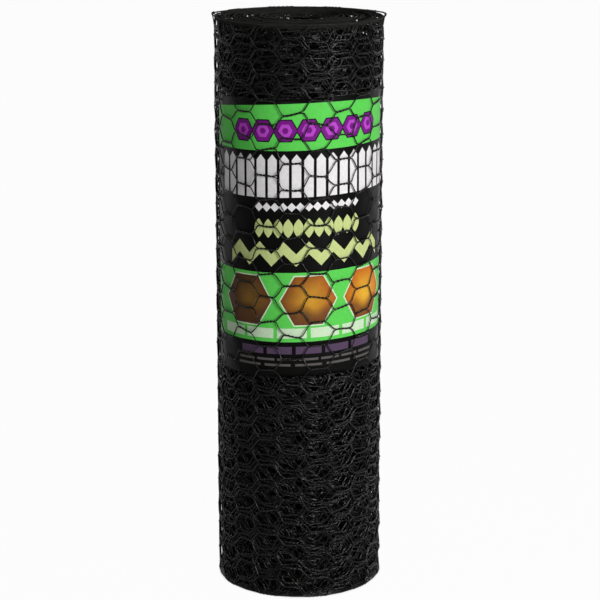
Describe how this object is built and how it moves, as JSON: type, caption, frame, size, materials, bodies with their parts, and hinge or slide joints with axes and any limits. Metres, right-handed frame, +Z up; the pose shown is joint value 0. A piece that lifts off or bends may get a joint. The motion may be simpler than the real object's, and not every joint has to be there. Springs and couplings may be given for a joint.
{
  "type": "roll of chicken wire",
  "caption": "Roll of black coated hexagonal wire netting standing on end, with a round hollow bore and a printed paper label under its last turn.",
  "frame": {"origin": "centre of the roll's base, on the bore's axis", "axes": "+Z up along the bore's axis, -Y towards the label"},
  "size_m": [0.1764, 0.1755, 0.61],
  "materials": {
    "coated_wire": "black PVC coating on galvanised steel wire, satin",
    "printed_paper": "gloss printed paper, green bands on black"
  },
  "bodies": {
    "root": {"netting_roll": "coated_wire", "label": "printed_paper"}
  },
  "joints": []
}
